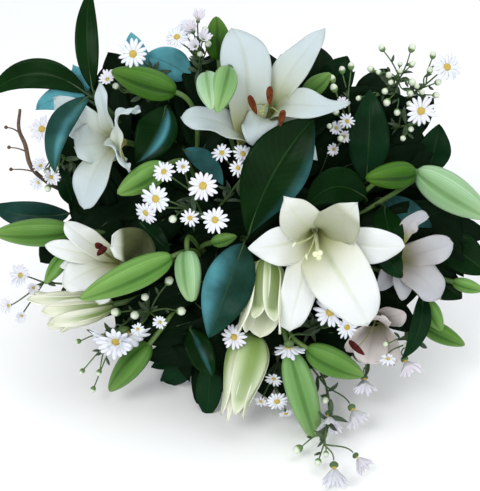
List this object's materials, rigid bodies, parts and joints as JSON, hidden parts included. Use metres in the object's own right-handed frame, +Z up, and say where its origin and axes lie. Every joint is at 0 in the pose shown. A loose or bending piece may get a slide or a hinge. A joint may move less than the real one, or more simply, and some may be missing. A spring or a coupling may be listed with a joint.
{
  "type": "flower bouquet",
  "caption": "Hand-tied bouquet of open and closed white lilies, small asters and broad glossy leaves, laid down with its domed face turned up and forward.",
  "frame": {"origin": "on the surface, below the middle of the bouquet's bounding box", "axes": "+Z up, +X to the right as the face is seen, -Y towards the viewer, the way the face looks"},
  "size_m": [0.457, 0.3642, 0.3317],
  "materials": {
    "stem": "smooth, slightly waxy",
    "petal": "satin",
    "opening": "satin",
    "stamen": "powdery",
    "leaf": "glossy",
    "aster": "matt",
    "twig": "rough bark",
    "twine": "fibrous"
  },
  "bodies": {
    "root": {"lily_stem_top": "stem", "lily_bloom_top": "petal", "lily_stamens_top": "stamen", "lily_stem_left": "stem", "lily_bloom_left": "petal", "lily_stamens_left": "stamen", "lily_stem_low_left": "stem", "lily_bloom_low_left": "petal", "lily_stamens_low_left": "stamen", "lily_stem_centre": "stem", "lily_bloom_centre": "petal", "lily_stamens_centre": "stamen", "lily_stem_right": "stem", "lily_bloom_right": "petal", "lily_stamens_right": "stamen", "lily_bloom_right_second": "petal", "lily_stamens_right_second": "stamen", "lily_opening_low_left": "opening", "lily_opening_under_centre": "opening", "lily_opening_low_centre": "opening", "leafy_twig_centre": "leaf", "leafy_twig_top": "leaf", "leafy_twig_upper_left": "leaf", "leafy_twig_left": "leaf", "leafy_twig_bottom": "leaf", "leafy_twig_low_right": "leaf", "leafy_twig_right": "leaf", "leafy_twig_top_right": "leaf", "aster_spray_top_left": "aster", "aster_spray_centre_left": "aster", "aster_spray_top_right": "aster", "aster_spray_left": "aster", "aster_spray_low_left": "aster", "aster_spray_low_centre": "aster", "aster_spray_bottom": "aster", "aster_spray_low_right": "aster", "brown_twig": "twig", "tie": "twine"}
  },
  "joints": []
}
